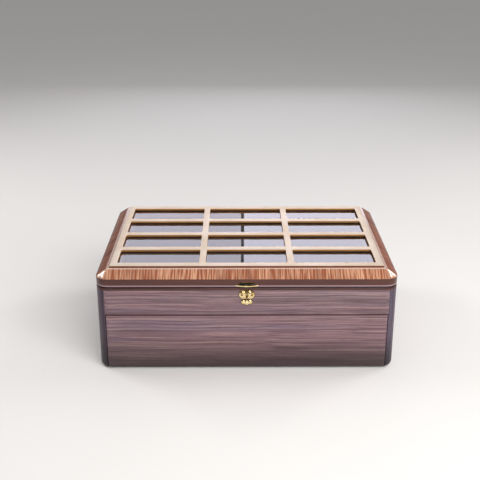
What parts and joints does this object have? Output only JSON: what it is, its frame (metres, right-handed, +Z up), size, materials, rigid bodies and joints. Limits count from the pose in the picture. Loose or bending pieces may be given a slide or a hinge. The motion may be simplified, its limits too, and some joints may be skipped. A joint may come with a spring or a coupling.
{
  "type": "glasses box",
  "caption": "Walnut box for glasses: lined tray with cells under a hinged, bevelled, glazed lid with a grille, a box lock and a flush drawer below.",
  "frame": {"origin": "middle of the footprint, on the surface that the box stands on", "axes": "+X along the width to the right as seen from the front, front towards -Y, +Z up"},
  "size_m": [0.54, 0.388, 0.1959],
  "materials": {
    "walnut": "satin varnish",
    "walnut_inside": "oiled",
    "crossbanded_walnut": "gloss varnish",
    "champagne_plate": "satin champagne",
    "clear_glass": "polished",
    "polished_brass": "polished",
    "brass_screws": "satin",
    "suede": "suede nap",
    "base_felt": "felt"
  },
  "bodies": {
    "case": {"corner_posts": "walnut", "case_left_side": "walnut", "case_right_side": "walnut", "case_back": "walnut", "case_front_rail": "walnut", "case_bottom": "walnut_inside", "tray_deck": "walnut_inside", "runner_left": "walnut_inside", "runner_right": "walnut_inside", "runner_screws": "brass_screws", "base_felt": "base_felt", "tray_floor_lining": "suede", "tray_wall_lining": "suede", "column_dividers": "suede", "row_dividers": "suede", "lock_case": "polished_brass", "lock_drill_pin": "polished_brass", "lock_screws": "brass_screws", "escutcheon": "polished_brass", "escutcheon_screws": "brass_screws", "hinge_case_leaves": "polished_brass", "hinge_pins": "polished_brass", "hinge_case_screws": "brass_screws"},
    "lid": {"lid_front_rail": "crossbanded_walnut", "lid_back_rail": "crossbanded_walnut", "lid_left_rail": "crossbanded_walnut", "lid_right_rail": "crossbanded_walnut", "grille": "champagne_plate", "glass_pane": "clear_glass", "glass_beads": "walnut_inside", "bead_screws": "brass_screws", "lid_lift": "polished_brass", "strike_plate": "polished_brass", "strike_screws": "brass_screws", "hinge_lid_leaves": "polished_brass", "hinge_lid_screws": "brass_screws"},
    "drawer": {"drawer_front": "walnut", "drawer_left_side": "walnut_inside", "drawer_right_side": "walnut_inside", "drawer_back": "walnut_inside", "drawer_bottom": "walnut_inside", "drawer_floor_lining": "suede", "drawer_wall_lining": "suede"},
    "bolt": {"lock_bolt": "polished_brass"}
  },
  "joints": [
    {"name": "lid_hinge", "type": "hinge", "parent": "case", "child": "lid", "pos_m": [0, 0.19215, 0.1644], "axis": [-1, 0, 0], "range_deg": [0, 95]},
    {"name": "drawer_slide", "type": "slide", "parent": "case", "child": "drawer", "axis": [0, -1, 0], "range_m": [0, 0.26]},
    {"name": "bolt_slide", "type": "slide", "parent": "case", "child": "bolt", "axis": [0, 0, 1], "range_m": [0, 0.006]}
  ]
}
